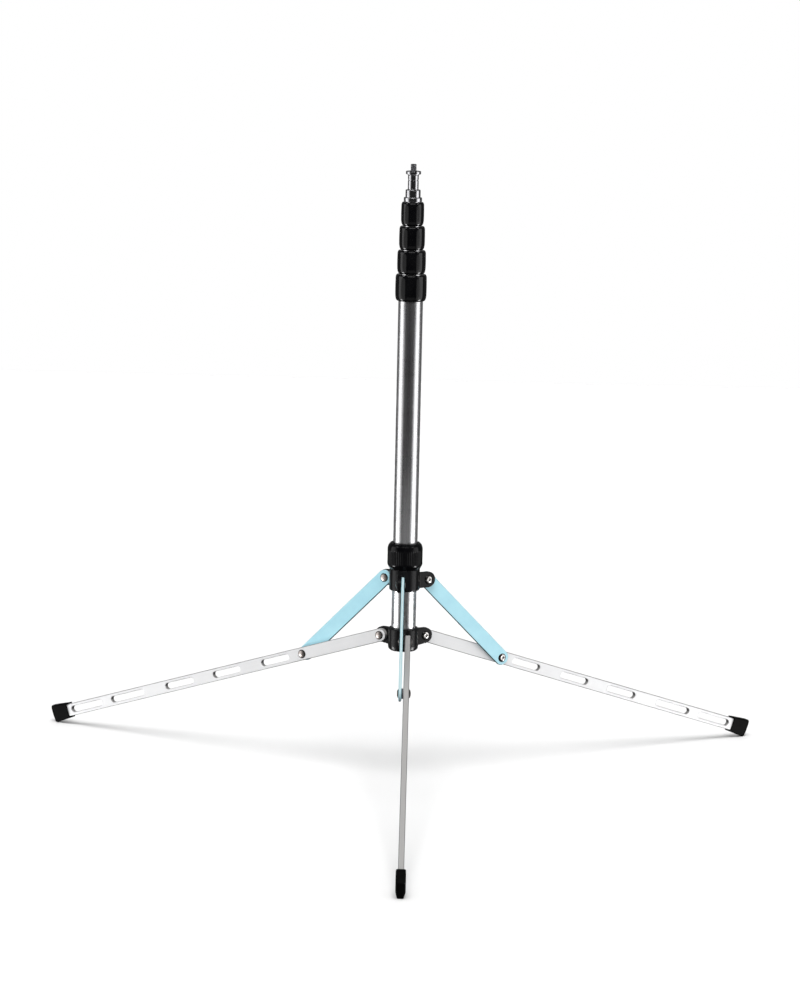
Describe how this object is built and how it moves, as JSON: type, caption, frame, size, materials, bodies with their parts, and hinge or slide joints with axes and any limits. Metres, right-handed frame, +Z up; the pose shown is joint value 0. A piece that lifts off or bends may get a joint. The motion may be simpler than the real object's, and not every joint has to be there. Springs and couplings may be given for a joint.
{
  "type": "folding light stand",
  "caption": "Compact column stand with telescoping twist-lock tubes, flat slotted legs that fold up past the column, struts to a clamped sliding hub, and a waisted mounting spigot.",
  "frame": {"origin": "on the floor, on the column's axis, midway between the three feet", "axes": "+Z up along the column, -Y along the front leg, +X to the right"},
  "size_m": [0.7988, 0.696, 0.6644],
  "materials": {
    "tube": "satin anodised",
    "leg": "satin anodised",
    "strut": "satin",
    "hub": "satin moulded",
    "collar": "glossy",
    "knurl": "satin ribbed",
    "boot": "matt",
    "screw": "bright",
    "nut": "satin",
    "spigot": "polished",
    "inner_pale": "matt moulded",
    "inner_dark": "matt moulded"
  },
  "bodies": {
    "column": {"main_tube": "tube", "column_plug": "inner_dark", "lower_hub": "hub", "leg_pivot_screws": "screw", "leg_pivot_nuts": "nut", "thread_sleeve_1": "inner_dark", "collet_1": "inner_pale"},
    "slider": {"slider_hub": "hub", "brake_collet": "inner_pale", "strut_pivot_screws": "screw", "strut_pivot_nuts": "nut"},
    "lock_ring": {"slider_lock_ring": "knurl"},
    "front_leg": {"leg_front": "leg", "boot_front": "boot", "leg_nut_front": "nut"},
    "right_leg": {"leg_right": "leg", "boot_right": "boot", "leg_nut_right": "nut"},
    "left_leg": {"leg_left": "leg", "boot_left": "boot", "leg_nut_left": "nut"},
    "front_strut": {"strut_front": "strut", "strut_screw_front": "screw", "strut_spacer_front": "inner_dark"},
    "right_strut": {"strut_right": "strut", "strut_screw_right": "screw", "strut_spacer_right": "inner_dark"},
    "left_strut": {"strut_left": "strut", "strut_screw_left": "screw", "strut_spacer_left": "inner_dark"},
    "collar_1": {"twist_collar_1": "collar"},
    "collar_2": {"twist_collar_2": "collar"},
    "collar_3": {"twist_collar_3": "collar"},
    "collar_4": {"twist_collar_4": "collar"},
    "section_2": {"tube_2": "tube", "guide_plug_2": "inner_pale", "thread_sleeve_2": "inner_dark", "collet_2": "inner_pale"},
    "section_3": {"tube_3": "tube", "guide_plug_3": "inner_pale", "thread_sleeve_3": "inner_dark", "collet_3": "inner_pale"},
    "section_4": {"tube_4": "tube", "guide_plug_4": "inner_pale", "thread_sleeve_4": "inner_dark", "collet_4": "inner_pale"},
    "section_5": {"tube_5": "tube", "guide_plug_5": "inner_pale", "spigot": "spigot"}
  },
  "joints": [
    {"name": "hub_slide", "type": "slide", "parent": "column", "child": "slider", "axis": [0, 0, 1], "range_m": [0, 0.17738]},
    {"name": "front_leg_fold", "type": "hinge", "parent": "column", "child": "front_leg", "pos_m": [0, -0.0254, 0.1571], "axis": [-1, 0, 0], "range_deg": [0, 107.8]},
    {"name": "right_leg_fold", "type": "hinge", "parent": "column", "child": "right_leg", "pos_m": [0.022, 0.0127, 0.1571], "axis": [0.5, -0.866, 0], "range_deg": [0, 107.8]},
    {"name": "left_leg_fold", "type": "hinge", "parent": "column", "child": "left_leg", "pos_m": [-0.022, 0.0127, 0.1571], "axis": [0.5, 0.866, 0], "range_deg": [0, 107.8]},
    {"name": "front_strut_fold", "type": "hinge", "parent": "slider", "child": "front_strut", "pos_m": [0, -0.0254, 0.2191], "axis": [1, 0, 0], "range_deg": [0, 44.65]},
    {"name": "right_strut_fold", "type": "hinge", "parent": "slider", "child": "right_strut", "pos_m": [0.022, 0.0127, 0.2191], "axis": [-0.5, 0.866, 0], "range_deg": [0, 44.65]},
    {"name": "left_strut_fold", "type": "hinge", "parent": "slider", "child": "left_strut", "pos_m": [-0.022, 0.0127, 0.2191], "axis": [-0.5, -0.866, 0], "range_deg": [0, 44.65]},
    {"name": "lock_ring_turn", "type": "hinge", "parent": "slider", "child": "lock_ring", "pos_m": [0, 0, 0.2471], "axis": [0, 0, 1], "range_deg": [0, 240]},
    {"name": "section_2_slide", "type": "slide", "parent": "column", "child": "section_2", "axis": [0, 0, 1], "range_m": [0, 0.348]},
    {"name": "section_3_slide", "type": "slide", "parent": "section_2", "child": "section_3", "axis": [0, 0, 1], "range_m": [0, 0.3348]},
    {"name": "section_4_slide", "type": "slide", "parent": "section_3", "child": "section_4", "axis": [0, 0, 1], "range_m": [0, 0.3202]},
    {"name": "section_5_slide", "type": "slide", "parent": "section_4", "child": "section_5", "axis": [0, 0, 1], "range_m": [0, 0.3056]},
    {"name": "collar_1_turn", "type": "hinge", "parent": "column", "child": "collar_1", "pos_m": [0, 0, 0.5344], "axis": [0, 0, 1], "range_deg": [0, 180]},
    {"name": "collar_2_turn", "type": "hinge", "parent": "section_2", "child": "collar_2", "pos_m": [0, 0, 0.5614], "axis": [0, 0, 1], "range_deg": [0, 180]},
    {"name": "collar_3_turn", "type": "hinge", "parent": "section_3", "child": "collar_3", "pos_m": [0, 0, 0.5868], "axis": [0, 0, 1], "range_deg": [0, 180]},
    {"name": "collar_4_turn", "type": "hinge", "parent": "section_4", "child": "collar_4", "pos_m": [0, 0, 0.6122], "axis": [0, 0, 1], "range_deg": [0, 180]}
  ],
  "couplings": [
    {"joint": "front_leg_fold", "follows": "hub_slide", "rad_per_m": 10.607},
    {"joint": "right_leg_fold", "follows": "hub_slide", "rad_per_m": 10.607},
    {"joint": "left_leg_fold", "follows": "hub_slide", "rad_per_m": 10.607},
    {"joint": "front_strut_fold", "follows": "hub_slide", "rad_per_m": 4.3928},
    {"joint": "right_strut_fold", "follows": "hub_slide", "rad_per_m": 4.3928},
    {"joint": "left_strut_fold", "follows": "hub_slide", "rad_per_m": 4.3928}
  ]
}
